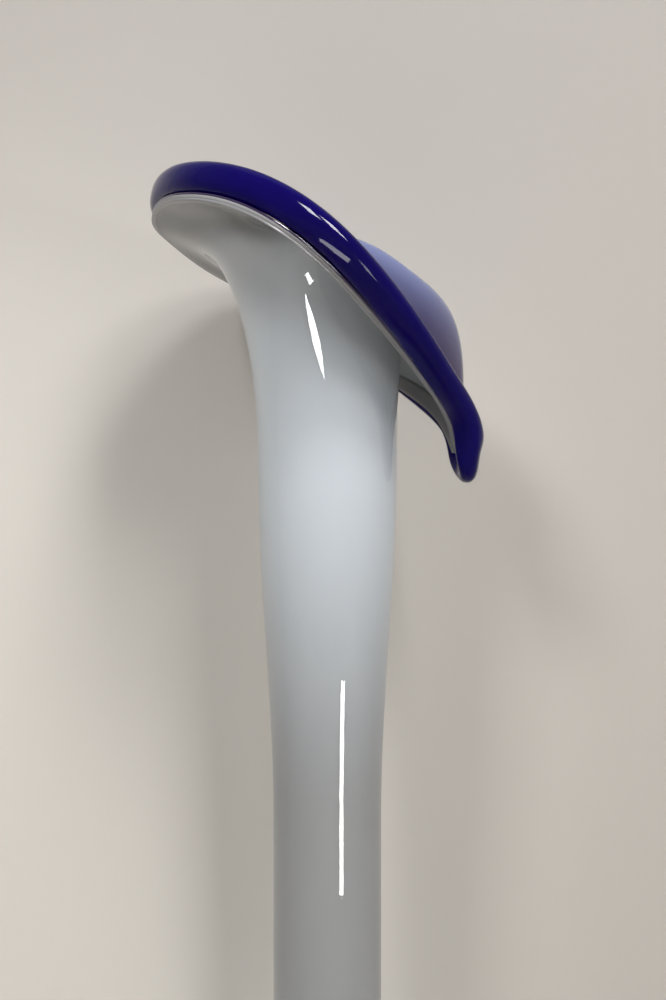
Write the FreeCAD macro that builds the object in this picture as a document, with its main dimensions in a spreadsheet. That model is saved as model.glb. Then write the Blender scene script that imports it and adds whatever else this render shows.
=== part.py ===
import FreeCAD, Part
import math
import os
import Sketcher

from FreeCAD import Vector

# Tall cased-glass trumpet vase with a flared lip that rises at the back and droops to a point.
# Millimetres, +Z up, origin at the centre of the foot's underside.
# +X runs towards the lip's drawn-out point, and the vase mirrors about the XZ plane.

doc = FreeCAD.newDocument("trumpet_vase")

# Driving dimensions

sheet = doc.addObject("Spreadsheet::Sheet", "Sizes")
sheet_rows = [
    ("foot_diameter", 112.0, "clear disc foot, across"),
    ("foot_edge_thickness", 4.6, "foot at its edge"),
    ("foot_ring_width", 7.0, "flat ring that the vase stands on"),
    ("foot_kick_up", 2.4, "hollow under the middle of the foot"),
    ("foot_shoulder_diameter", 58.0, "where the foot starts to rise to its crown"),
    ("foot_shoulder_height", 7.4, "top of the foot at the shoulder"),
    ("foot_crown_height", 15.0, "top of the foot, under the wafer"),
    ("foot_edge_fillet", 2.0, "fire-polished edge of the foot"),
    ("foot_rise_fillet", 30.0, "hollow sweep from the foot to its crown"),
    ("wafer_diameter", 34.0, "glass wafer between foot and stem"),
    ("wafer_thickness", 7.0, "wafer, top to bottom"),
    ("wafer_fillet", 3.2, "rounded edge of the wafer"),
    ("wafer_seat_diameter", 27.0, "where foot, wafer and stem meet"),
    ("stem_radius", 19.4, "outside of the slender stem"),
    ("neck_radius", 25.0, "outside of the neck, where the lip starts to flare"),
    ("stem_base_rise", 16.0, "height over which the stem's base rounds in"),
    ("swell_start", 150.0, "height above the wafer where the stem starts to swell"),
    ("neck_height", 278.0, "neck above the wafer"),
    ("base_glass", 24.0, "solid clear glass under the opal wall"),
    ("opal_base_rise", 13.0, "height over which the opal wall's closed end rounds in"),
    ("opal_flat_radius", 6.0, "flat middle of the opal wall's closed end"),
    ("casing_thickness", 1.4, "clear outer layer"),
    ("opal_thickness", 1.8, "white opal layer"),
    ("lining_thickness", 1.2, "blue inner layer"),
    ("lip_length", 108.5, "plan length of the rim, point to back"),
    ("lip_back_reach", 62.0, "from the axis to the back of the rim"),
    ("lip_half_width", 62.0, "from the mirror plane to the side of the rim"),
    ("lip_point_height", 3.0, "rim's lowest place above the neck"),
    ("lip_rise", 82.0, "rim's back above its lowest place"),
    ("wrap_height", 10.4, "cobalt wrap, standing up from the lip"),
    ("wrap_width", 8.4, "cobalt wrap, across"),
    ("wrap_lap", 6.6, "how far the wrap lies over the lining"),
    ("wrap_point_length", 5.2, "extra width of the wrap at the point"),
    ("wrap_point_thinning", 3.2, "loss of height of the wrap at the point"),
    ("wrap_seat_clearance", 0.05, "between the wrap and the lining"),
]
for row, (alias, number, note) in enumerate(sheet_rows, start=1):
    sheet.set("A%d" % row, alias)
    sheet.set("B%d" % row, str(number))
    sheet.set("C%d" % row, note)
    sheet.setAlias("B%d" % row, alias)
doc.recompute()


def size(alias):
    return float(sheet.get(alias))


# The lip's rim at nine places from the point to the back, as shares of the lip's length,
# half width and rise. The other side of the rim mirrors them.

rim_along_share = (1.0, 0.964, 0.874, 0.733, 0.525, 0.313, 0.143, 0.041, 0.0)
rim_aside_share = (0.0, 0.13, 0.33, 0.64, 0.95, 1.0, 0.775, 0.4, 0.0)
rim_rise_share = (0.0, 0.13, 0.275, 0.445, 0.675, 0.85, 0.94, 0.99, 1.0)
rim_slope = (-96, -97, -96, -72, -31, 5, 12, 12, 11)

# At the same places the crest, where the glass stops rising from the neck and turns over
# towards the rim: its shares of the way out to the rim and of the lip's rise, and its slope.
# Slopes are in degrees, outwards and up.

crest_out_share = (0.5, 0.5, 0.5, 0.48, 0.42, 0.45, 0.45, 0.45, 0.45)
crest_rise_share = (0.675, 0.695, 0.735, 0.79, 0.805, 0.79, 0.84, 0.87, 0.88)
crest_slope = (-10, -8, -5, 0, 14, 30, 37, 42, 43)

# How far each strip keeps straight on: from the neck up, into and out of the crest, and back
# from the rim, as shares of its rise, of its way in and out, and of its distance to the crest

throat_share = (0.88, 0.87, 0.88, 0.89, 0.8, 0.72, 0.68, 0.65, 0.65)
crest_in_share = (0.55, 0.55, 0.55, 0.55, 0.5, 0.45, 0.42, 0.4, 0.4)
crest_away_share = (0.6, 0.6, 0.6, 0.6, 0.5, 0.36, 0.33, 0.33, 0.33)
droop_share = (0.85, 0.84, 0.83, 0.72, 0.5, 0.4, 0.38, 0.36, 0.34)

# How far the wrap laps over the lining, as shares

lap_share = (0.5, 0.78, 0.82, 0.79, 0.97, 1.0, 1.0, 1.0, 1.0)

# The glass thins from the neck to the rim, down to this share of the wall.

rim_thickness_share = 0.59

# Places round the rim, and the rings laid through the rounded ends, the stem and the lip

half_places = len(rim_along_share) - 1
places = 2 * half_places
end_rings = 5
stem_rings = 9
rise_step_shares = (0.0, 0.1, 0.2, 0.32, 0.45, 0.6, 0.75, 0.88)
droop_step_shares = (0.0, 0.12, 0.25, 0.4, 0.55, 0.7, 0.84, 0.93, 1.0)

# The wrap's section: how square it is, its corners, its steps between two places of the rim,
# and the places over which its point fades

wrap_squareness = 2.5
wrap_corners = 14
wrap_steps = 3
wrap_point_places = 0.48

near = 0.001 * size("stem_radius")
stem_seat = size("foot_crown_height") + size("wafer_thickness")
wall = size("casing_thickness") + size("opal_thickness") + size("lining_thickness")


# Turned pieces: the foot and the wafer

# A body turned about Z: its corners are (radius, height) expressions, round its half section
def turned_body(label, corners):
    body = doc.addObject("PartDesign::Body", label)
    body.Label = label
    sketch = body.newObject("Sketcher::SketchObject", label + "_section")
    plane = [face for face in body.Origin.OriginFeatures if face.Role == "XZ_Plane"][0]
    sketch.AttachmentSupport = [(plane, "")]
    sketch.MapMode = "FlatFace"
    points = [
        Vector(worked_out(sketch, radius), worked_out(sketch, height), 0)
        for radius, height in corners
    ]
    count = len(corners)
    for index in range(count):
        line = Part.LineSegment(points[index], points[(index + 1) % count])
        sketch.addGeometry(line, False)
    for index in range(count):
        meeting = Sketcher.Constraint("Coincident", index, 2, (index + 1) % count, 1)
        sketch.addConstraint(meeting)
    for index, (radius, height) in enumerate(corners):
        bind_corner(sketch, index, "DistanceX", radius, -2)
        bind_corner(sketch, index, "DistanceY", height, -1)
    doc.recompute()
    turning = body.newObject("PartDesign::Revolution", label + "_turning")
    turning.Profile = sketch
    turning.ReferenceAxis = (sketch, ["V_Axis"])
    turning.Angle = 360
    doc.recompute()
    return body, turning


def worked_out(holder, expression):
    return float(holder.evalExpression(expression))


def bind_corner(sketch, index, kind, expression, axis):
    if expression == "0":
        sketch.addConstraint(Sketcher.Constraint("PointOnObject", index, 1, axis))
        return
    length = worked_out(sketch, expression)
    number = sketch.addConstraint(Sketcher.Constraint(kind, -1, 1, index, 1, length))
    sketch.setExpression("Constraints[%d]" % number, expression)


# Rounds the circular edges that have one of the given (radius, height) pairs
def round_edges(body, base, label, circles, fillet_alias):
    names = []
    for number, edge in enumerate(base.Shape.Edges, start=1):
        curve = edge.Curve
        if not isinstance(curve, Part.Circle):
            continue
        for radius, height in circles:
            if abs(curve.Radius - radius) < near and abs(curve.Center.z - height) < near:
                names.append("Edge%d" % number)
    fillet = body.newObject("PartDesign::Fillet", label)
    fillet.Base = (base, names)
    fillet.setExpression("Radius", "Sizes." + fillet_alias)
    doc.recompute()
    return fillet


foot, foot_turning = turned_body("foot_disc", [
    ("0", "Sizes.foot_kick_up"),
    ("Sizes.foot_diameter / 2 - Sizes.foot_ring_width", "0"),
    ("Sizes.foot_diameter / 2", "0"),
    ("Sizes.foot_diameter / 2", "Sizes.foot_edge_thickness"),
    ("Sizes.foot_shoulder_diameter / 2", "Sizes.foot_shoulder_height"),
    ("Sizes.wafer_seat_diameter / 2", "Sizes.foot_crown_height"),
    ("0", "Sizes.foot_crown_height"),
])
foot_polish = round_edges(foot, foot_turning, "foot_fire_polish", [
    (size("foot_diameter") / 2, 0),
    (size("foot_diameter") / 2, size("foot_edge_thickness")),
], "foot_edge_fillet")
foot_rise = round_edges(foot, foot_polish, "foot_rise", [
    (size("foot_shoulder_diameter") / 2, size("foot_shoulder_height")),
], "foot_rise_fillet")

wafer, wafer_turning = turned_body("foot_wafer", [
    ("0", "0"),
    ("Sizes.wafer_diameter / 2", "0"),
    ("Sizes.wafer_diameter / 2", "Sizes.wafer_thickness"),
    ("0", "Sizes.wafer_thickness"),
])
wafer_edge = round_edges(wafer, wafer_turning, "wafer_edge", [
    (size("wafer_diameter") / 2, 0),
    (size("wafer_diameter") / 2, size("wafer_thickness")),
], "wafer_fillet")
wafer.setExpression("Placement.Base.z", "Sizes.foot_crown_height")


# Smooth surfaces through rings of points, one point at each place round the rim

def around(shares):
    return list(shares) + list(shares[-2:0:-1])


def level_ring(radius, height):
    turns = [2 * math.pi * place / places for place in range(places)]
    return [Vector(radius * math.cos(turn), radius * math.sin(turn), height) for turn in turns]


def closed_curve(points):
    curve = Part.BSplineCurve()
    steps = [float(step) for step in range(len(points) + 1)]
    curve.interpolate(Points=points, PeriodicFlag=True, Parameters=steps)
    return curve


def open_curve(points, travel):
    curve = Part.BSplineCurve()
    curve.interpolate(Points=points, Parameters=travel)
    return curve


# How far the surface has run at each ring, measured between rings and averaged
def mean_travel(rings):
    travel = [0.0]
    for lower, upper in zip(rings, rings[1:]):
        gaps = [start.distanceToPoint(end) for start, end in zip(lower, upper)]
        travel.append(travel[-1] + sum(gaps) / len(gaps))
    return travel


# The surface closes round each ring and, where closed is set, from the last ring to the first
def surface_through(rings, closed=False):
    round_rings = [closed_curve(ring) for ring in rings]
    columns = [list(column) for column in zip(*[curve.getPoles() for curve in round_rings])]
    if closed:
        rows = [closed_curve(column) for column in columns]
    else:
        travel = mean_travel(rings)
        rows = [open_curve(column, travel) for column in columns]
    surface = Part.BSplineSurface()
    surface.buildFromPolesMultsKnots(
        [row_curve.getPoles() for row_curve in rows],
        round_rings[0].getMultiplicities(),
        rows[0].getMultiplicities(),
        round_rings[0].getKnots(),
        rows[0].getKnots(),
        True,
        closed,
        round_rings[0].Degree,
        rows[0].Degree,
    )
    return surface


# The middle of the glass, from the neck to the rim

def rim_ring():
    ring = []
    lowest = size("neck_height") + size("lip_point_height")
    table = zip(around(rim_along_share), around(rim_aside_share), around(rim_rise_share))
    for place, (along, aside, rise) in enumerate(table):
        side = 1 if place <= half_places else -1
        ring.append(Vector(
            along * size("lip_length") - size("lip_back_reach"),
            side * aside * size("lip_half_width"),
            lowest + rise * size("lip_rise"),
        ))
    return ring


def bend(start, leaving, arriving, end, step):
    rest = 1 - step
    return (
        start * rest ** 3
        + leaving * (3 * rest ** 2 * step)
        + arriving * (3 * rest * step ** 2)
        + end * step ** 3
    )


def level(offset):
    return Vector(offset.x, offset.y, 0)


# A direction outwards and up at a slope in degrees
def sloping(outward, slope):
    tilt = math.radians(slope)
    return outward * math.cos(tilt) + Vector(0, 0, math.sin(tilt))


# Each strip of the lip leaves the neck straight up, turns over at the crest and runs to the rim.
# Its rings carry the share of the way from neck to rim that they lie at.
def middle_rings():
    necks = level_ring(size("neck_radius") - wall / 2, size("neck_height"))
    lowest = size("neck_height") + size("lip_point_height")
    rises = []
    droops = []
    for place, (neck, rim) in enumerate(zip(necks, rim_ring())):
        outward = level(rim - neck).normalize()
        crest = neck + level(rim - neck) * around(crest_out_share)[place]
        crest.z = lowest + around(crest_rise_share)[place] * size("lip_rise")
        crest_way = sloping(outward, around(crest_slope)[place])
        rim_way = sloping(level(rim).normalize(), around(rim_slope)[place])
        throat = Vector(0, 0, crest.z - neck.z) * around(throat_share)[place]
        way_in = level(crest - neck).Length * around(crest_in_share)[place]
        way_out = level(rim - crest).Length * around(crest_away_share)[place]
        droop = (rim - crest).Length * around(droop_share)[place]
        rises.append((neck, neck + throat, crest - crest_way * way_in, crest))
        droops.append((crest, crest + crest_way * way_out, rim - rim_way * droop, rim))
    rings = [
        (step / 2, [bend(*strip, step) for strip in rises]) for step in rise_step_shares
    ]
    rings += [
        (1 / 2 + step / 2, [bend(*strip, step) for strip in droops]) for step in droop_step_shares
    ]
    return rings


lip_rings = middle_rings()
lip_middle = surface_through([ring for share, ring in lip_rings])
outside = 1 if lip_middle.normal(0, 0).x > 0 else -1


# The four skins of the wall, each at its depth under the outside

skin_depths = (
    0.0,
    size("casing_thickness"),
    size("casing_thickness") + size("opal_thickness"),
    wall,
)


def stem_outside(height):
    span = size("neck_height") - size("swell_start")
    part_way = min(max((height - size("swell_start")) / span, 0), 1)
    swell = part_way ** 2 * (3 - 2 * part_way)
    return size("stem_radius") + (size("neck_radius") - size("stem_radius")) * swell


# One skin runs up from its rounded lower end through the stem to the rim
def skin(number):
    depth = skin_depths[number]
    if number == 0:
        bottom = 0.0
        flat = size("wafer_seat_diameter") / 2
        rise = size("stem_base_rise")
    else:
        bottom = size("base_glass") + depth - skin_depths[1]
        flat = size("opal_flat_radius")
        rise = size("opal_base_rise")
    stem_start = bottom + rise
    side = stem_outside(stem_start) - depth
    rings = []
    for number_up in range(end_rings):
        turn = math.pi / 2 * number_up / end_rings
        radius = flat + (side - flat) * math.sin(turn)
        rings.append(level_ring(radius, bottom + rise * (1 - math.cos(turn))))
    for number_up in range(stem_rings):
        part_way = number_up / stem_rings
        height = stem_start + (size("neck_height") - stem_start) * part_way
        rings.append(level_ring(stem_outside(height) - depth, height))
    for (share, ring), travel in zip(lip_rings, lip_middle.getVKnots()):
        thinning = 1 - (1 - rim_thickness_share) * share ** 2
        offset = outside * (wall / 2 - depth) * thinning
        rings.append([
            point + lip_middle.normal(place, travel) * offset
            for place, point in enumerate(ring)
        ])
    return surface_through(rings)


def glass_piece(label, faces):
    shell = Part.makeShell(faces)
    if len(faces) > 1:
        shell.sewShape()
    solid = Part.makeSolid(shell)
    if solid.Volume < 0:
        solid.reverse()
    piece = doc.addObject("Part::Feature", label)
    piece.Label = label
    piece.Shape = solid
    piece.Placement.Base = Vector(0, 0, stem_seat)
    return piece


# The glass between two skins, closed at the rim and at both lower ends
def glass_layer(label, outer, inner):
    lowest, highest = outer.bounds()[2:]
    inner_lowest, inner_highest = inner.bounds()[2:]
    outer_rim = outer.vIso(highest).toShape()
    inner_rim = inner.vIso(inner_highest).toShape()
    return glass_piece(label, [
        outer.toShape(),
        inner.toShape(),
        Part.makeRuledSurface(outer_rim, inner_rim),
        Part.Face(Part.Wire(outer.vIso(lowest).toShape())),
        Part.Face(Part.Wire(inner.vIso(inner_lowest).toShape())),
    ])


skins = [skin(number) for number in range(len(skin_depths))]
casing = glass_layer("clear_casing", skins[0], skins[1])
opal = glass_layer("opal_wall", skins[1], skins[2])
lining = glass_layer("blue_lining", skins[2], skins[3])


# The cobalt wrap: a fat roll that stands on the lining along the rim

inside_skin = skins[-1]
rim_travel = inside_skin.bounds()[3]


def inward_normal(at, travel):
    return inside_skin.normal(at, travel) * -outside


# Reads a table of shares between two places of the rim
def between(shares, place):
    values = around(shares)
    lower = int(place)
    part_way = place - lower
    upper = (lower + 1) % places
    return values[lower % places] * (1 - part_way) + values[upper] * part_way


def wrap_section(place):
    edge = inside_skin.value(place, rim_travel)
    along = inside_skin.tangent(place, rim_travel)[0]
    up = inward_normal(place, rim_travel)
    outward = along.cross(up).normalize()
    if outward.dot(inside_skin.tangent(place, rim_travel)[1]) < 0:
        outward = outward * -1
    from_point = min(place, places - place) / wrap_point_places
    point_share = math.exp(-from_point ** 2)
    width = size("wrap_width") + size("wrap_point_length") * point_share
    height = size("wrap_height") - size("wrap_point_thinning") * point_share
    middle = width / 2 - size("wrap_lap") * between(lap_share, place)
    section = []
    for corner in range(wrap_corners):
        turn = 2 * math.pi * corner / wrap_corners
        across = middle + width / 2 * rounded(math.cos(turn))
        stand = size("wrap_seat_clearance") + height / 2 * (1 + rounded(math.sin(turn)))
        section.append(on_lining(edge, outward, up, across, stand))
    return section


def rounded(ratio):
    return math.copysign(abs(ratio) ** (2 / wrap_squareness), ratio)


# A point so far across from the rim and so far up: over the lining it follows the lining
def on_lining(edge, outward, up, across, stand):
    if across >= 0:
        return edge + outward * across + up * stand
    foot_point = edge + outward * across
    at, travel = inside_skin.parameter(foot_point)
    return inside_skin.value(at, travel) + inward_normal(at, travel) * stand


wrap_rings = [wrap_section(step / wrap_steps) for step in range(places * wrap_steps)]
wrap_surface = surface_through(wrap_rings, closed=True)
wrap = glass_piece("lip_wrap", [wrap_surface.toShape()])

# Every piece is checked, then written

doc.recompute()
pieces = [foot, wafer, casing, opal, lining, wrap]
for thing in doc.Objects:
    if "Invalid" in thing.State or "Error" in thing.State:
        raise RuntimeError(thing.Label + " failed")
for piece in pieces:
    if piece.Shape.isNull() or not piece.Shape.isValid() or len(piece.Shape.Solids) != 1:
        raise RuntimeError(piece.Label + " is not one valid solid")

os.makedirs("parts", exist_ok=True)
for piece in pieces:
    piece.Shape.exportStep("parts/" + piece.Label + ".step")
    box = piece.Shape.BoundBox
    print(piece.Label, "volume %.0f" % piece.Shape.Volume, "z %.1f to %.1f" % (box.ZMin, box.ZMax))
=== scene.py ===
import math

import bpy
import numpy as np
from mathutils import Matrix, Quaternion, Vector


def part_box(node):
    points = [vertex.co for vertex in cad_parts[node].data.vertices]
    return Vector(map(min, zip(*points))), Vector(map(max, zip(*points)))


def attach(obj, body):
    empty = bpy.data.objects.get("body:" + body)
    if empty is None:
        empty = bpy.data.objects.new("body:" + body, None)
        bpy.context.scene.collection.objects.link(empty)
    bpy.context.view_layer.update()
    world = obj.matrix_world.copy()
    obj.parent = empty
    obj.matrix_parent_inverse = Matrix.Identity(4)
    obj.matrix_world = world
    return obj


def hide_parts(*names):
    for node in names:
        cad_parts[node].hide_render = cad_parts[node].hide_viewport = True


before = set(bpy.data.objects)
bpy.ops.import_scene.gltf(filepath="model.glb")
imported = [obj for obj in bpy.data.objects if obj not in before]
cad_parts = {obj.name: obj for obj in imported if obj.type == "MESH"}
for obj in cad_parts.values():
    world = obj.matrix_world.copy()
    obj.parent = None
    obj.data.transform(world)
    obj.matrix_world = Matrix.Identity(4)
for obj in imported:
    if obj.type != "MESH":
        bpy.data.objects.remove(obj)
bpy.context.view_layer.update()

mm = 0.001

# Sizes that the frame already holds

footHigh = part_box("foot_disc")[1]
waferLow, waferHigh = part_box("foot_wafer")
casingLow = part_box("clear_casing")[0]
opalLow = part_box("opal_wall")[0]
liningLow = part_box("blue_lining")[0]


# Shader maths: an output that a node gives, on which + * ** add further maths nodes
class Wire:
    def __init__(self, shade, socket):
        self.shade = shade
        self.socket = socket

    def maths(self, operation, other):
        return self.shade.node("ShaderNodeMath", {"operation": operation}, {0: self, 1: other})

    def __add__(self, other):
        return self.maths("ADD", other)

    def __mul__(self, other):
        return self.maths("MULTIPLY", other)

    def __pow__(self, other):
        return self.maths("POWER", other)


# The node tree of a material or of the world. Every node comes from the one method, node.
class Shading:
    def __init__(self, owner):
        self.owner = owner
        owner.use_nodes = True
        self.tree = owner.node_tree
        self.tree.nodes.clear()

    def node(self, kind, settings=None, inputs=None, output=0):
        made = self.tree.nodes.new(kind)
        for key, setting in (settings or {}).items():
            setattr(made, key, setting)
        for key, given in (inputs or {}).items():
            socket = made.inputs[key]
            if isinstance(given, Wire):
                self.tree.links.new(given.socket, socket)
            elif isinstance(given, tuple) and socket.type == "RGBA":
                socket.default_value = (*given, 1)
            else:
                socket.default_value = given
        return Wire(self, made.outputs[output]) if made.outputs else None

    def blend(self, share, first, second):
        return self.node(
            "ShaderNodeMix", {"data_type": "RGBA"}, {0: share, 6: first, 7: second}, output=2
        )

    def meshShare(self, name):
        return self.node("ShaderNodeAttribute", {"attribute_name": name}, output="Fac")

    def ray(self, kind):
        return self.node("ShaderNodeLightPath", output=kind)

    def anyOf(self, first, second, third):
        return self.node("ShaderNodeMath", {"operation": "ADD", "use_clamp": True}, {
            0: first + second, 1: third,
        })

    def ramp(self, value, low, high):
        return self.node("ShaderNodeMapRange", {"interpolation_type": "SMOOTHSTEP"}, {
            "Value": value, "From Min": low, "From Max": high,
        })

    def objectSpace(self):
        return self.node("ShaderNodeTexCoord", output="Object")

    def reach(self, axis):
        return self.node("ShaderNodeSeparateXYZ", {}, {0: self.objectSpace()}, output=axis)

    def noise(self, scale, detail, stretch=(1, 1, 1)):
        spread = self.node("ShaderNodeMapping", {}, {
            "Vector": self.objectSpace(), "Scale": stretch,
        })
        return self.node(
            "ShaderNodeTexNoise", {}, {"Vector": spread, "Scale": scale, "Detail": detail}
        )

    def bump(self, height, strength, distance):
        return self.node(
            "ShaderNodeBump", {}, {"Height": height, "Strength": strength, "Distance": distance}
        )

    def mixShader(self, share, first, second):
        return self.node("ShaderNodeMixShader", {}, {0: share, 1: first, 2: second})

    def finish(self, surface, ending="ShaderNodeOutputMaterial"):
        self.node(ending, {}, {"Surface": surface})
        return self.owner


def newShading(name):
    return Shading(bpy.data.materials.new(name))


# How finely a noise is broken up
calm, streaky, lively = 1.0, 2.0, 3.0


# Meshes made from rings: rows of points, each row closed on itself

def addPiece(name, points, faces, material, shares=None):
    mesh = bpy.data.meshes.new(name)
    mesh.from_pydata([tuple(point) for point in points], [], faces)
    mesh.polygons.foreach_set("use_smooth", [True] * len(mesh.polygons))
    for title, numbers in (shares or {}).items():
        layer = mesh.attributes.new(title, "FLOAT", "POINT")
        layer.data.foreach_set("value", np.asarray(numbers, dtype=np.float32))
    mesh.materials.append(material)
    mesh.update()
    piece = bpy.data.objects.new(name, mesh)
    bpy.context.collection.objects.link(piece)
    return piece


def bandFaces(rowCount, columnCount, closed=False):
    faces = []
    for row in range(rowCount if closed else rowCount - 1):
        above = (row + 1) % rowCount
        for column in range(columnCount):
            beside = (column + 1) % columnCount
            faces.append((
                row * columnCount + column,
                row * columnCount + beside,
                above * columnCount + beside,
                above * columnCount + column,
            ))
    return faces


# Rings from one pole to another; each end closes on its own middle point
def capped(rows):
    rowCount, columnCount = rows.shape[:2]
    points = list(rows.reshape(-1, 3))
    faces = bandFaces(rowCount, columnCount)
    first = len(points)
    points += [rows[0].mean(axis=0), rows[-1].mean(axis=0)]
    last = (rowCount - 1) * columnCount
    for column in range(columnCount):
        beside = (column + 1) % columnCount
        faces.append((beside, column, first))
        faces.append((last + column, last + beside, first + 1))
    return points, faces


def levelRing(radius, height, count):
    turns = np.arange(count) * 2 * math.pi / count
    return np.stack([radius * np.cos(turns), radius * np.sin(turns), np.full(count, height)], -1)


# A half outline's corners are (radius, height, rounding), run from the axis to the axis
def roundedOutline(corners, arcSteps=14):
    outline = [np.array(corners[0][:2])]
    for before, corner, after in zip(corners, corners[1:], corners[2:]):
        here = np.array(corner[:2])
        back = np.array(before[:2]) - here
        ahead = np.array(after[:2]) - here
        back /= np.linalg.norm(back)
        ahead /= np.linalg.norm(ahead)
        half = math.acos(float(np.clip(back @ ahead, -1, 1))) / 2
        if corner[2] == 0:
            outline.append(here)
            continue
        bisector = (back + ahead) / np.linalg.norm(back + ahead)
        centre = here + bisector * corner[2] / math.sin(half)
        start = here + back * corner[2] / math.tan(half) - centre
        end = here + ahead * corner[2] / math.tan(half) - centre
        for step in range(arcSteps + 1):
            share = step / arcSteps
            sweep = math.pi - 2 * half
            spoke = (start * math.sin((1 - share) * sweep) + end * math.sin(share * sweep))
            outline.append(centre + spoke / math.sin(sweep))
    outline.append(np.array(corners[-1][:2]))
    return outline


# Straight runs get more points, so that shading stays even along them
def spaced(outline, gap):
    points = [outline[0]]
    for start, end in zip(outline, outline[1:]):
        pieces = max(1, int(np.linalg.norm(end - start) / gap))
        points += [start + (end - start) * (step + 1) / pieces for step in range(pieces)]
    return points


def turnedPiece(name, corners, material, lift=0.0, gap=1.5 * mm, count=192):
    outline = spaced(roundedOutline(corners), gap)[1:-1]
    rows = np.array([levelRing(radius, height + lift, count) for radius, height in outline])
    points, faces = capped(rows)
    return addPiece(name, points, faces, material)


# The glass finishes

clearLook = {
    "colour": (0.90, 0.965, 0.95),
    "roughness": 0.02,
    "index": 1.47,
    "wave": 0.25,
    "waveSize": 38.0,
    "waveDepth": 0.4 * mm,
    "seedSize": 240.0,
    "seedSharpness": 3.0,
    "seedHaze": 0.05,
}


def clearGlass(look=clearLook):
    shade = newShading("clearGlass")
    waves = shade.noise(look["waveSize"], calm)
    seeds = shade.noise(look["seedSize"], lively)
    smear = seeds ** look["seedSharpness"] * look["seedHaze"] + look["roughness"]
    return shade.finish(shade.node("ShaderNodeBsdfPrincipled", {}, {
        "Base Color": look["colour"],
        "Roughness": smear,
        "IOR": look["index"],
        "Transmission Weight": 1.0,
        "Normal": shade.bump(waves, look["wave"], look["waveDepth"]),
    }))


casingLook = {
    "tint": (0.985, 0.992, 1.0),
    "rim": (0.255, 0.256, 0.262),
    "rimRoughness": 0.25,
    "rimGloss": 0.3,
    "rimPlace": (0.962, 0.974),
    "roughness": 0.018,
    "index": 1.5,
    "wave": 0.12,
    "waveSize": 26.0,
    "waveDepth": 0.5 * mm,
    "waveStretch": (1.0, 1.0, 0.22),
}


# The outer gather bends what lies under it as thick glass does, and lets the lamps through to the
# opal. Its inner side is fused to the opal, so nothing bends there, and its melted rim is milky.
def casingGlass(look=casingLook):
    shade = newShading("casingGlass")
    waves = shade.noise(look["waveSize"], calm, look["waveStretch"])
    clear = shade.node("ShaderNodeBsdfPrincipled", {}, {
        "Base Color": look["tint"],
        "Roughness": look["roughness"],
        "IOR": look["index"],
        "Transmission Weight": 1.0,
        "Normal": shade.bump(waves, look["wave"], look["waveDepth"]),
    })
    through = shade.node("ShaderNodeBsdfTransparent", {}, {"Color": look["tint"]})
    unbent = shade.anyOf(
        shade.ray("Is Shadow Ray"), shade.ray("Is Diffuse Ray"), shade.meshShare("fused")
    )
    rim = shade.node("ShaderNodeBsdfPrincipled", {}, {
        "Base Color": look["rim"],
        "Roughness": look["rimRoughness"],
        "Specular IOR Level": look["rimGloss"],
    })
    atRim = shade.ramp(shade.meshShare("place"), *look["rimPlace"])
    return shade.finish(shade.mixShader(atRim, shade.mixShader(unbent, clear, through), rim))


opalLook = {
    "swell": (0.585, 0.616, 0.638),
    # stem: painted shade, the darker colour low on the stem
    "stem": (0.285, 0.284, 0.278),
    # lip: painted shade under the lip's high back
    "lip": (0.069, 0.073, 0.081),
    "cut": (0.30, 0.30, 0.305),
    "cutPlace": 0.995,
    "shadeBelow": (0.18, 0.30),
    "driftBelow": 12 * mm,
    "lipShadeBeyond": (0.30, 0.80),
    "driftBeyond": 0.06,
    "lipShadeSide": (0.016, -0.026),
    "cloudSize": 16.0,
    "cloudStretch": (1.0, 1.0, 0.3),
    "cloudShare": 0.14,
    "roughness": 0.3,
    "gloss": 0.0,
    "scatter": 0.25,
    "scatterSpread": (1.0, 1.1, 1.25),
    "scatterDepth": 3 * mm,
}


# The opal's colour is painted darker down the stem and along the lip's high back: painted shade
# for the light that falls off down the stem and the shadow under that side of the lip.
def opalGlass(look=opalLook):
    shade = newShading("opalGlass")
    clouds = shade.noise(look["cloudSize"], lively, look["cloudStretch"])
    place = shade.meshShare("place")
    # Painted shade: the colour darkens down the stem
    full = shade.ramp(shade.reach("Z") + clouds * look["driftBelow"], *look["shadeBelow"])
    # Painted shade: the colour darkens towards the rim under the lip's high back
    lipShade = shade.ramp(place + clouds * look["driftBeyond"], *look["lipShadeBeyond"])
    lipShade = lipShade * shade.ramp(shade.reach("X"), *look["lipShadeSide"])
    body = shade.blend(full, look["stem"], look["swell"])
    milk = shade.blend(
        clouds * look["cloudShare"], shade.blend(lipShade, body, look["lip"]), look["cut"]
    )
    cut = shade.node("ShaderNodeMath", {"operation": "GREATER_THAN"}, {
        0: place, 1: look["cutPlace"],
    })
    return shade.finish(shade.node("ShaderNodeBsdfPrincipled", {}, {
        "Base Color": shade.blend(cut, milk, look["cut"]),
        "Roughness": look["roughness"],
        "Specular IOR Level": look["gloss"],
        "Subsurface Weight": look["scatter"],
        "Subsurface Radius": look["scatterSpread"],
        "Subsurface Scale": look["scatterDepth"],
    }))


liningLook = {
    "deep": (0.040, 0.026, 0.078),
    "pale": (0.120, 0.142, 0.310),
    "milky": (0.21, 0.25, 0.45),
    "deepBeyond": (0.64, 0.98),
    "driftBeyond": 0.05,
    "nearHalf": (0.035, -0.010),
    "cloudSize": 22.0,
    "roughness": 0.06,
    "gloss": 0.4,
    "wave": 0.1,
    "waveDepth": 0.3 * mm,
}
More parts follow.
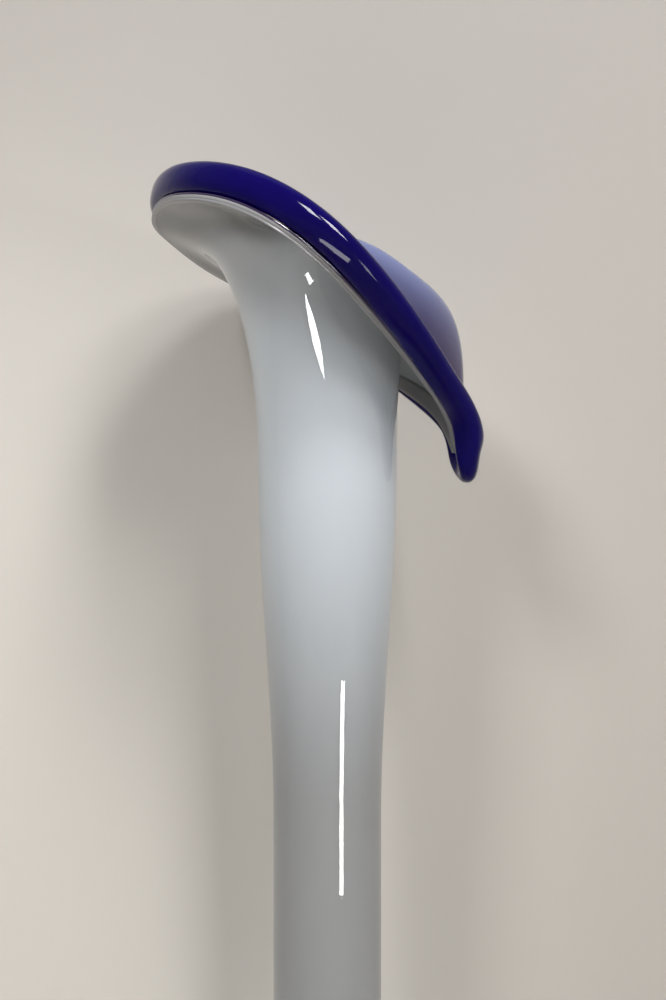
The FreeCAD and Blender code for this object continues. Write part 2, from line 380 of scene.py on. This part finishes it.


# The lining deepens towards the rim on the near half: partly the glass's own deeper blue, partly
# painted shade in the hollow behind the cobalt roll
def liningGlass(look=liningLook):
    shade = newShading("liningGlass")
    clouds = shade.noise(look["cloudSize"], lively)
    place = shade.meshShare("place")
    inner = shade.blend(clouds, look["pale"], look["milky"])
    nearRim = shade.ramp(place + clouds * look["driftBeyond"], *look["deepBeyond"])
    # Partly painted shade: deeper colour in the hollow behind the cobalt roll
    rimDeepAndShade = nearRim * shade.ramp(shade.reach("Y"), *look["nearHalf"])
    return shade.finish(shade.node("ShaderNodeBsdfPrincipled", {}, {
        "Base Color": shade.blend(rimDeepAndShade, inner, look["deep"]),
        "Roughness": look["roughness"],
        "Specular IOR Level": look["gloss"],
        "Normal": shade.bump(clouds, look["wave"], look["waveDepth"]),
    }))


cobaltLook = {
    "dense": (0.0022, 0.0005, 0.062),
    "bright": (0.0045, 0.0010, 0.10),
    "streakSize": 60.0,
    "gloss": 0.08,
    "roughness": 0.05,
    "wave": 0.2,
    "waveSize": 55.0,
    "waveDepth": 0.3 * mm,
}


def cobaltGlass(look=cobaltLook):
    shade = newShading("cobaltGlass")
    streaks = shade.noise(look["streakSize"], streaky)
    waves = shade.noise(look["waveSize"], calm)
    return shade.finish(shade.node("ShaderNodeBsdfPrincipled", {}, {
        "Base Color": shade.blend(streaks, look["dense"], look["bright"]),
        "Roughness": look["roughness"],
        "Specular IOR Level": look["gloss"],
        "Normal": shade.bump(waves, look["wave"], look["waveDepth"]),
    }))


clearMaterial = clearGlass()
casingMaterial = casingGlass()
opalMaterial = opalGlass()
liningMaterial = liningGlass()
cobaltMaterial = cobaltGlass()
print("glass finishes made")

# Foot and wafer

foot = {
    "radius": footHigh[0],
    "edge": 4.6 * mm,
    "ring": 7.0 * mm,
    "kickUp": 2.4 * mm,
    "shoulder": (29.0 * mm, 7.4 * mm),
    "crown": footHigh[2],
    "seat": 13.5 * mm,
    "polish": 2.0 * mm,
    "sweep": 30.0 * mm,
}

wafer = {
    "radius": waferHigh[0],
    "height": waferHigh[2] - waferLow[2],
    "rounding": 3.2 * mm,
}


def makeFoot():
    return turnedPiece("foot", [
        (0.0, foot["kickUp"], 0),
        (foot["radius"] - foot["ring"], 0.0, 0),
        (foot["radius"], 0.0, foot["polish"]),
        (foot["radius"], foot["edge"], foot["polish"]),
        (*foot["shoulder"], foot["sweep"]),
        (foot["seat"], foot["crown"], 0),
        (0.0, foot["crown"], 0),
    ], clearMaterial)


def makeWafer():
    return turnedPiece("wafer", [
        (0.0, 0.0, 0),
        (wafer["radius"], 0.0, wafer["rounding"]),
        (wafer["radius"], wafer["height"], wafer["rounding"]),
        (0.0, wafer["height"], 0),
    ], clearMaterial, lift=waferLow[2])


# The cased wall. Heights are above the wafer, where the stem stands.

stem = {
    "seat": casingLow[2],
    "radius": 19.4 * mm,
    "neckRadius": 25.0 * mm,
    "neck": 278.0 * mm,
    "swellStart": 150.0 * mm,
    "baseFlat": 13.5 * mm,
    "baseRise": 16.0 * mm,
    "opalFlat": 6.0 * mm,
    "opalRise": 13.0 * mm,
    "opalBottom": opalLow[2] - casingLow[2],
    "liningBottom": liningLow[2] - casingLow[2],
    "casing": 1.4 * mm,
    "opal": 1.8 * mm,
    "lining": 1.2 * mm,
    "hair": 0.04 * mm,
    "columns": 320,
    "bottomRows": 20,
    "sideRows": 90,
}

lip = {
    "length": 108.5 * mm,
    "back": 62.0 * mm,
    "halfWidth": 62.0 * mm,
    "pointHeight": 3.0 * mm,
    "rise": 82.0 * mm,
    "rimThickness": 0.59,
    "rows": 72,
}

# At nine places from the point to the back: the rim, as shares of the lip's length, half width
# and rise, with its slope in degrees; the crest where the glass turns over; how far each strip
# keeps straight on; and how far the cobalt laps over the lining, as a share of its full lap

lipPlaces = {
    "along": (1.0, 0.964, 0.874, 0.733, 0.525, 0.313, 0.143, 0.041, 0.0),
    "aside": (0.0, 0.13, 0.33, 0.64, 0.95, 1.0, 0.775, 0.4, 0.0),
    "rise": (0.0, 0.13, 0.275, 0.445, 0.675, 0.85, 0.94, 0.99, 1.0),
    "slope": (-96, -97, -96, -72, -31, 5, 12, 12, 11),
    "crestOut": (0.5, 0.5, 0.5, 0.48, 0.42, 0.45, 0.45, 0.45, 0.45),
    "crestRise": (0.675, 0.695, 0.735, 0.79, 0.805, 0.79, 0.84, 0.87, 0.88),
    "crestSlope": (-10, -8, -5, 0, 14, 30, 37, 42, 43),
    "throat": (0.88, 0.87, 0.88, 0.89, 0.8, 0.72, 0.68, 0.65, 0.65),
    "crestIn": (0.55, 0.55, 0.55, 0.55, 0.5, 0.45, 0.42, 0.4, 0.4),
    "crestAway": (0.6, 0.6, 0.6, 0.6, 0.5, 0.36, 0.33, 0.33, 0.33),
    "droop": (0.85, 0.84, 0.83, 0.72, 0.5, 0.4, 0.38, 0.36, 0.34),
    "lap": (0.5, 0.78, 0.82, 0.79, 0.97, 1.0, 1.0, 1.0, 1.0),
}

wrap = {
    "height": 10.4 * mm,
    "width": 8.4 * mm,
    "lap": 6.6 * mm,
    "pointLength": 5.2 * mm,
    "pointThinning": 3.2 * mm,
    "seatGap": 0.05 * mm,
    "squareness": 2.5,
    "corners": 32,
    "pointPlaces": 0.48,
}

wall = stem["casing"] + stem["opal"] + stem["lining"]
placeCount = 2 * (len(lipPlaces["along"]) - 1)


def mirrored(name):
    shares = lipPlaces[name]
    return np.array(shares + shares[-2:0:-1], dtype=float)


# A smooth closed curve through points one place apart, read at any places
def closedCurve(points, places):
    count = points.shape[-2]
    system = 4 * np.eye(count) + np.roll(np.eye(count), 1, 0) + np.roll(np.eye(count), -1, 0)
    bends = 6 * (np.roll(points, 1, -2) - 2 * points + np.roll(points, -1, -2))
    bends = np.linalg.solve(system, bends)
    here = np.floor(places).astype(int)
    part = (places - here)[:, None]
    after = (here + 1) % count
    here = here % count
    straight = (1 - part) * points[..., here, :] + part * points[..., after, :]
    bent = (2 - part) * bends[..., here, :] + (1 + part) * bends[..., after, :]
    return straight - part * (1 - part) / 6 * bent


def levelled(points):
    return points * np.array([1, 1, 0])


def lengths(vectors):
    return np.linalg.norm(vectors, axis=-1, keepdims=True)


def sloping(outward, degrees):
    tilt = np.radians(degrees)[:, None]
    return outward * np.cos(tilt) + np.array([0, 0, 1]) * np.sin(tilt)


def bend(start, leaving, arriving, end, step):
    rest = 1 - step
    return (
        start * rest ** 3
        + leaving * 3 * rest ** 2 * step
        + arriving * 3 * rest * step ** 2
        + end * step ** 3
    )


# The middle of the glass from neck to rim, as rings through the places
def lipRings():
    neck = levelRing(stem["neckRadius"] - wall / 2, stem["neck"], placeCount)
    side = np.where(np.arange(placeCount) <= placeCount / 2, 1, -1)
    lowest = stem["neck"] + lip["pointHeight"]
    rim = np.stack([
        mirrored("along") * lip["length"] - lip["back"],
        side * mirrored("aside") * lip["halfWidth"],
        lowest + mirrored("rise") * lip["rise"],
    ], -1)
    way = levelled(rim - neck)
    outward = way / lengths(way)
    crest = neck + way * mirrored("crestOut")[:, None]
    crest[:, 2] = lowest + mirrored("crestRise") * lip["rise"]
    crestWay = sloping(outward, mirrored("crestSlope"))
    rimWay = sloping(levelled(rim) / lengths(levelled(rim)), mirrored("slope"))
    climb = (crest - neck) * np.array([0, 0, 1])
    intoCrest = lengths(levelled(crest - neck)) * mirrored("crestIn")[:, None]
    outOfCrest = lengths(levelled(rim - crest)) * mirrored("crestAway")[:, None]
    droop = lengths(rim - crest) * mirrored("droop")[:, None]
    climbed = neck + climb * mirrored("throat")[:, None]
    rise = (neck, climbed, crest - crestWay * intoCrest, crest)
    fall = (crest, crest + crestWay * outOfCrest, rim - rimWay * droop, rim)
    steps = np.linspace(0, 1, lip["rows"] + 1)
    shares = np.concatenate([steps[:-1] / 2, 1 / 2 + steps / 2])
    rising = [bend(*rise, step) for step in steps[:-1]]
    falling = [bend(*fall, step) for step in steps]
    return shares, np.array(rising + falling)


lipShares, rings = lipRings()
columnPlaces = np.arange(stem["columns"]) * placeCount / stem["columns"]
lipMiddle = closedCurve(rings, columnPlaces)


def ringNormals(rows):
    along = np.roll(rows, -1, 1) - np.roll(rows, 1, 1)
    up = np.gradient(rows, axis=0)
    normals = np.cross(along, up)
    return normals / lengths(normals)


lipNormals = ringNormals(lipMiddle)


def stemOutside(height):
    part = np.clip((height - stem["swellStart"]) / (stem["neck"] - stem["swellStart"]), 0, 1)
    return stem["radius"] + (stem["neckRadius"] - stem["radius"]) * part ** 2 * (3 - 2 * part)


# One skin of the wall at a depth under the outside, from its rounded lower end to the rim.
# The place attribute runs from 0 at the neck to 1 at the rim.
def skin(depth, bottom, flat, rise):
    side = stemOutside(bottom + rise) - depth
    rows = []
    for turn in np.linspace(0, math.pi / 2, stem["bottomRows"], endpoint=False):
        radius = flat + (side - flat) * math.sin(turn)
        rows.append(levelRing(radius, bottom + rise * (1 - math.cos(turn)), stem["columns"]))
    for height in np.linspace(bottom + rise, stem["neck"], stem["sideRows"], endpoint=False):
        rows.append(levelRing(stemOutside(height) - depth, height, stem["columns"]))
    thinning = 1 - (1 - lip["rimThickness"]) * lipShares[:, None, None] ** 2
    lipRows = lipMiddle + lipNormals * (wall / 2 - depth) * thinning
    shares = np.concatenate([np.zeros(len(rows)), lipShares])
    return np.concatenate([np.array(rows), lipRows]), shares


skins = [
    skin(0.0, 0.0, stem["baseFlat"], stem["baseRise"]),
    skin(stem["casing"], stem["opalBottom"], stem["opalFlat"], stem["opalRise"]),
    skin(wall - stem["lining"], stem["liningBottom"], stem["opalFlat"], stem["opalRise"]),
    skin(wall, stem["liningBottom"] + stem["lining"], stem["opalFlat"], stem["opalRise"]),
]

# The casing stops a hair short of the opal, so that the two faces don't flicker together
casingInside = skin(
    stem["casing"] - stem["hair"],
    stem["opalBottom"] - stem["hair"],
    stem["opalFlat"],
    stem["opalRise"],
)


# The glass between two skins, with a softly melted edge at the rim. Its fused share is 1 on the
# inner skin and 0 elsewhere.
def layerPiece(name, outer, inner, material, melt=0.12 * mm, steps=6):
    outerRows, outerShares = outer
    innerRows, innerShares = inner
    run = outerRows[-1] - outerRows[-2]
    outward = run / lengths(run)
    edge = []
    for step in range(1, steps):
        share = step / steps
        bulge = outward * melt * math.sin(share * math.pi)
        edge.append(outerRows[-1] * (1 - share) + innerRows[-1] * share + bulge)
    rows = np.concatenate([outerRows, np.array(edge), innerRows[::-1]])
    rows = rows + np.array([0, 0, stem["seat"]])
    shares = np.concatenate([outerShares, np.ones(len(edge)), innerShares[::-1]])
    points, faces = capped(rows)
    fused = (np.arange(len(rows)) >= len(outerRows) + len(edge)) * 1.0
    return addPiece(name, points, faces, material, {
        "place": np.concatenate([np.repeat(shares, stem["columns"]), [0, 0]]),
        "fused": np.concatenate([np.repeat(fused, stem["columns"]), [0, 1]]),
    })


# The cobalt wrap stands on the lining along the rim and laps over it

def liningBack():
    rows = skins[-1][0][::-1][:lip["rows"]]
    normals = -ringNormals(rows[::-1])[::-1]
    travel = np.concatenate([
        np.zeros((1, stem["columns"])),
        np.cumsum(lengths(np.diff(rows, axis=0))[..., 0], axis=0),
    ])
    return rows, normals, travel


backRows, backNormals, backTravel = liningBack()


# A point of the lining at a column, which need not be whole, and a way back from the rim
def onLining(column, back):
    lower = int(math.floor(column))
    part = column - lower
    found = []
    for rows in (backRows, backNormals):
        pair = []
        for beside in (lower % stem["columns"], (lower + 1) % stem["columns"]):
            line = rows[:, beside]
            travel = backTravel[:, beside]
            pair.append(np.array([np.interp(back, travel, line[:, axis]) for axis in range(3)]))
        found.append(pair[0] * (1 - part) + pair[1] * part)
    return found[0], found[1] / np.linalg.norm(found[1])


def rounded(ratio):
    return math.copysign(abs(ratio) ** (2 / wrap["squareness"]), ratio)


# Directions at the rim of a column: along it, straight out over its edge, and how its neighbours
# have to be shared when a step goes straight back from it
def rimFrame(column, up):
    beside = (column + 1) % stem["columns"]
    along = (backRows[0, beside] - backRows[0, column - 1]) / 2
    run = backRows[0, column] - backRows[1, column]
    run /= np.linalg.norm(run)
    outward = np.cross(along, up)
    outward /= np.linalg.norm(outward)
    if outward @ run < 0:
        outward = -outward
    runShare = 1 / (run @ outward)
    return outward, runShare, -runShare * (run @ along) / (along @ along)


def wrapRing(column):
    edge, up = onLining(column, 0.0)
    outward, runShare, sideShare = rimFrame(column, up)
    place = columnPlaces[column]
    fromPoint = min(place, placeCount - place) / wrap["pointPlaces"]
    pointShare = math.exp(-fromPoint ** 2)
    width = wrap["width"] + wrap["pointLength"] * pointShare
    height = wrap["height"] - wrap["pointThinning"] * pointShare
    laps = mirrored("lap")
    lap = wrap["lap"] * np.interp(place, np.arange(placeCount + 1), np.append(laps, laps[0]))
    ring = []
    for corner in range(wrap["corners"]):
        turn = 2 * math.pi * corner / wrap["corners"]
        across = width / 2 - lap + width / 2 * rounded(math.cos(turn))
        stand = wrap["seatGap"] + height / 2 * (1 + rounded(math.sin(turn)))
        if across >= 0:
            ring.append(edge + outward * across + up * stand)
        else:
            point, normal = onLining(column + sideShare * across, -runShare * across)
            ring.append(point + normal * stand)
    return ring


def makeWrap():
    rows = np.array([wrapRing(column) for column in range(stem["columns"])])
    rows = rows + np.array([0, 0, stem["seat"]])
    faces = bandFaces(stem["columns"], wrap["corners"], closed=True)
    return addPiece("lipWrap", rows.reshape(-1, 3), faces, cobaltMaterial)


made = [
    (makeFoot(), "foot_disc", "clear_glass"),
    (makeWafer(), "foot_wafer", "clear_glass"),
    (
        layerPiece("casing", skins[0], casingInside, casingMaterial),
        "clear_casing", "casing_glass",
    ),
    (layerPiece("opalWall", skins[1], skins[2], opalMaterial), "opal_wall", "opal_glass"),
    (layerPiece("lining", skins[2], skins[3], liningMaterial), "blue_lining", "lining_glass"),
    (makeWrap(), "lip_wrap", "cobalt_glass"),
]
for piece, node, slotName in made:
    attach(piece, "root")
    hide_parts(node)
print("glass pieces made:", len(made))

# Floor, backdrop, lamps and camera

stage = {
    "floorSize": 1.5,
    "floorColour": (0.60, 0.565, 0.53),
    "wallDistance": 0.074,
    "wallSize": (2.4, 1.6),
    "wallColour": (0.635, 0.603, 0.555),
    # The two colours below are painted shade, darker to the right and at the top
    "wallShadeRight": (0.480, 0.449, 0.412),
    "wallShadeTop": (0.430, 0.404, 0.373),
    "darkerBeyond": (-0.06, 0.16),
    "darkerAbove": (0.30, 0.56),
    "blotchSize": 5.0,
    "blotchDrift": 0.08,
}

room = {
    "softColour": (0.80, 0.82, 0.85),
    "softness": 0.21,
    "seenColour": (0.53, 0.515, 0.49),
}


# The keys are broad, aim at the swell and aren't mirrored in the glass
def keyLamp(name, place, power):
    return {
        "name": name, "from": place, "at": (0, 0, 0.26),
        "size": (0.32, 0.32), "power": power, "mirrored": False,
    }


# The strip and the glints are only mirrored in the glass: they light nothing
lamps = [
    keyLamp("rightKey", (0.376, -0.844, 1.44), 10.2),
    keyLamp("leftKey", (-0.69, -0.95, 1.20), 10.2),
    keyLamp("lowKey", (0.494, -1.109, 1.14), 6.2),
    {
        "name": "lowFill", "from": (0.80, -0.80, 0.12), "at": (0, 0, 0.10),
        "size": (0.4, 0.2), "power": 1.5, "mirrored": False,
    },
    {
        "name": "ceiling", "from": (0.0, -0.10, 1.60), "at": (0, 0, 0.30),
        "size": (0.8, 0.8), "power": 1.0,
    },
    {
        "name": "lowStrip", "from": (0.176, -0.357, 0.055), "at": (0.004, -0.020, 0.185),
        "size": (0.055, 0.10), "power": 0.42, "lighting": False,
    },
    {
        "name": "nearGlint", "from": (-0.006, -0.078, 0.334), "at": (-0.007, -0.029, 0.344),
        "size": (0.018, 0.012), "power": 0.020, "roll": -28.0, "lighting": False,
    },
    {
        "name": "leftGlint", "from": (0.195, -1.223, 0.618), "at": (-0.009, -0.067, 0.369),
        "size": (0.24, 0.42), "power": 30.0, "lighting": False,
    },
    {
        "name": "rightGlint", "from": (0.65, -1.04, 0.618), "at": (0.002, -0.064, 0.362),
        "size": (0.30, 0.42), "power": 38.0, "lighting": False,
    },
]

camera = {
    "place": (-16.8 * mm, -359.6 * mm, 286.0 * mm),
    "yaw": math.radians(3.0),
    "lens": 36.0,
    "sensor": 36.0,
    "near": 0.01,
}


def flatSheet(name, size, material, place=(0, 0, 0), turn=(0, 0, 0)):
    halves = [(-0.5, -0.5), (0.5, -0.5), (0.5, 0.5), (-0.5, 0.5)]
    points = [(x * size[0], y * size[1], 0) for x, y in halves]
    sheet = addPiece(name, points, [(0, 1, 2, 3)], material)
    sheet.location = place
    sheet.rotation_euler = turn
    return sheet


def floorPaper():
    shade = newShading("paleFloor")
    return shade.finish(shade.node("ShaderNodeBsdfDiffuse", {}, {"Color": stage["floorColour"]}))


# The backdrop's colour darkens upwards and to the right: painted shade for light that falls off
# there. It is clear from behind and throws no shadow, so that the back of the vase can be seen.
def backdropPaper():
    shade = newShading("paleBackdrop")
    blotches = shade.noise(stage["blotchSize"], calm)
    above = shade.reach("Y") + stage["wallSize"][1] / 2 + blotches * stage["blotchDrift"]
    rightShade = shade.ramp(shade.reach("X"), *stage["darkerBeyond"])
    topShade = shade.ramp(above, *stage["darkerAbove"])
    # Painted shade: darker to the right and towards the top
    colour = shade.blend(rightShade, stage["wallColour"], stage["wallShadeRight"])
    plain = shade.node("ShaderNodeBsdfDiffuse", {}, {
        "Color": shade.blend(topShade, colour, stage["wallShadeTop"]),
    })
    behind = shade.node("ShaderNodeNewGeometry", output="Backfacing")
    unseen = shade.node("ShaderNodeMath", {"operation": "MAXIMUM"}, {
        0: behind, 1: shade.ray("Is Shadow Ray"),
    })
    gone = shade.node("ShaderNodeBsdfTransparent")
    return shade.finish(shade.mixShader(unseen, plain, gone))


def makeStage():
    floor = flatSheet("floor", (stage["floorSize"], stage["floorSize"]), floorPaper())
    backdrop = flatSheet(
        "backdrop", stage["wallSize"], backdropPaper(),
        (0, stage["wallDistance"], stage["wallSize"][1] / 2), (math.pi / 2, 0, 0),
    )


def makeLamps():
    for lamp in lamps:
        light = bpy.data.lights.new(lamp["name"], "AREA")
        light.shape = "RECTANGLE"
        light.size, light.size_y = lamp["size"]
        light.energy = lamp["power"]
        source = bpy.data.objects.new(lamp["name"], light)
        bpy.context.collection.objects.link(source)
        source.location = lamp["from"]
        aim = Vector(lamp["at"]) - Vector(lamp["from"])
        roll = Quaternion((0, 0, 1), math.radians(lamp.get("roll", 0.0)))
        source.rotation_euler = (aim.to_track_quat("-Z", "Y") @ roll).to_euler()
        source.visible_camera = False
        source.visible_glossy = lamp.get("mirrored", True)
        source.visible_diffuse = lamp.get("lighting", True)


# The room gives a little soft light. What is seen of it, straight on or in glass, is a pale wall.
def makeRoom():
    shade = Shading(bpy.data.worlds.new("room"))
    soft = shade.node("ShaderNodeBackground", {}, {
        "Color": room["softColour"], "Strength": room["softness"],
    })
    seen = shade.node("ShaderNodeBackground", {}, {"Color": room["seenColour"]})
    looking = shade.anyOf(
        shade.ray("Is Camera Ray"), shade.ray("Is Glossy Ray"), shade.ray("Is Transmission Ray")
    )
    bpy.context.scene.world = shade.finish(
        shade.mixShader(looking, soft, seen), "ShaderNodeOutputWorld"
    )


def makeCamera():
    view = bpy.data.cameras.new("photoView")
    view.lens = camera["lens"]
    view.sensor_width = camera["sensor"]
    view.sensor_fit = "AUTO"
    view.clip_start = camera["near"]
    holder = bpy.data.objects.new("photoView", view)
    bpy.context.collection.objects.link(holder)
    holder.location = camera["place"]
    holder.rotation_euler = (math.pi / 2, 0, -camera["yaw"])
    bpy.context.scene.camera = holder


makeStage()
makeLamps()
makeRoom()
makeCamera()
bpy.context.scene.view_settings.view_transform = "Standard"
print("stage, lamps and camera set")
